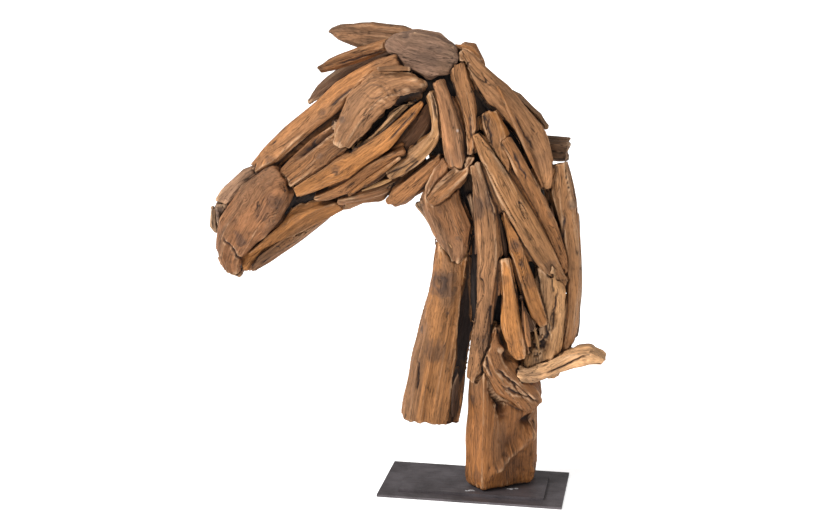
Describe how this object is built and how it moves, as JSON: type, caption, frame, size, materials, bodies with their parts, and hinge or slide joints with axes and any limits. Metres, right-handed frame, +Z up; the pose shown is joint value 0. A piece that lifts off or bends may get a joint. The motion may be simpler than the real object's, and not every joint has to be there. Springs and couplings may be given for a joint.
{
  "type": "driftwood horse head sculpture",
  "caption": "Life-size horse head and neck built of weathered teak sticks, boards and roots, on a trunk end that stands on two flat dark steel plates.",
  "frame": {"origin": "centre of the base plate's underside, on the surface that the sculpture stands on", "axes": "+Z up, -X where the muzzle points, +Y to the far side, which is the side away from the viewer who sees the muzzle at the left"},
  "size_m": [0.8566, 0.2143, 0.9974],
  "materials": {
    "orange_teak": "weathered orange teak, matt, with open grain",
    "brown_teak": "weathered brown teak, matt, with open grain",
    "grey_teak": "grey-brown weathered teak, matt",
    "pale_root": "pale tan root wood, matt",
    "dark_teak": "dark stained teak, matt",
    "blackened_wood": "blue-black stained wood, matt",
    "dark_steel": "dark steel with a thin worn lacquer, satin"
  },
  "bodies": {
    "root": {"base_plate": "dark_steel", "upper_plate": "dark_steel", "foot_block": "orange_teak", "back_block": "grey_teak", "back_stick": "orange_teak", "back_strip": "dark_teak", "brow_burl": "orange_teak", "cheek_board": "orange_teak", "chin_stick": "brown_teak", "crest_board": "grey_teak", "crest_curl": "brown_teak", "crest_strip": "dark_teak", "ear_far": "brown_teak", "ear_near": "brown_teak", "eye_strip": "pale_root", "face_board": "brown_teak", "far_cheek_board": "brown_teak", "far_jaw_board": "orange_teak", "far_jowl_stick": "brown_teak", "far_muzzle_board": "brown_teak", "far_neck_stick_1": "orange_teak", "far_neck_stick_2": "grey_teak", "far_neck_stick_3": "brown_teak", "far_nose_bar": "orange_teak", "forelock_under": "dark_teak", "head_inner_wood": "blackened_wood", "jaw_bottom": "orange_teak", "jaw_inner": "dark_teak", "jaw_rear": "brown_teak", "jaw_strip": "brown_teak", "jowl_stick": "brown_teak", "jowl_tongue": "brown_teak", "lip_under": "brown_teak", "mane_under": "dark_teak", "mouth_stick": "orange_teak", "muzzle_block": "brown_teak", "neck_inner_wood": "blackened_wood", "neck_slab": "orange_teak", "neck_stick_1": "brown_teak", "neck_stick_2": "grey_teak", "neck_stick_3": "brown_teak", "neck_stick_4": "orange_teak", "neck_stick_5": "orange_teak", "neck_stick_6": "dark_teak", "neck_under": "dark_teak", "nose_bar": "orange_teak", "nose_top": "grey_teak", "nostril_cap": "grey_teak", "nostril_far": "dark_teak", "orbit_stick": "orange_teak", "poll_board": "grey_teak", "poll_stick": "brown_teak", "root_beak": "pale_root", "root_burl": "pale_root", "swirl_root": "orange_teak", "throat_edge": "dark_teak", "throat_leaf": "orange_teak", "throat_plank": "orange_teak"}
  },
  "joints": []
}
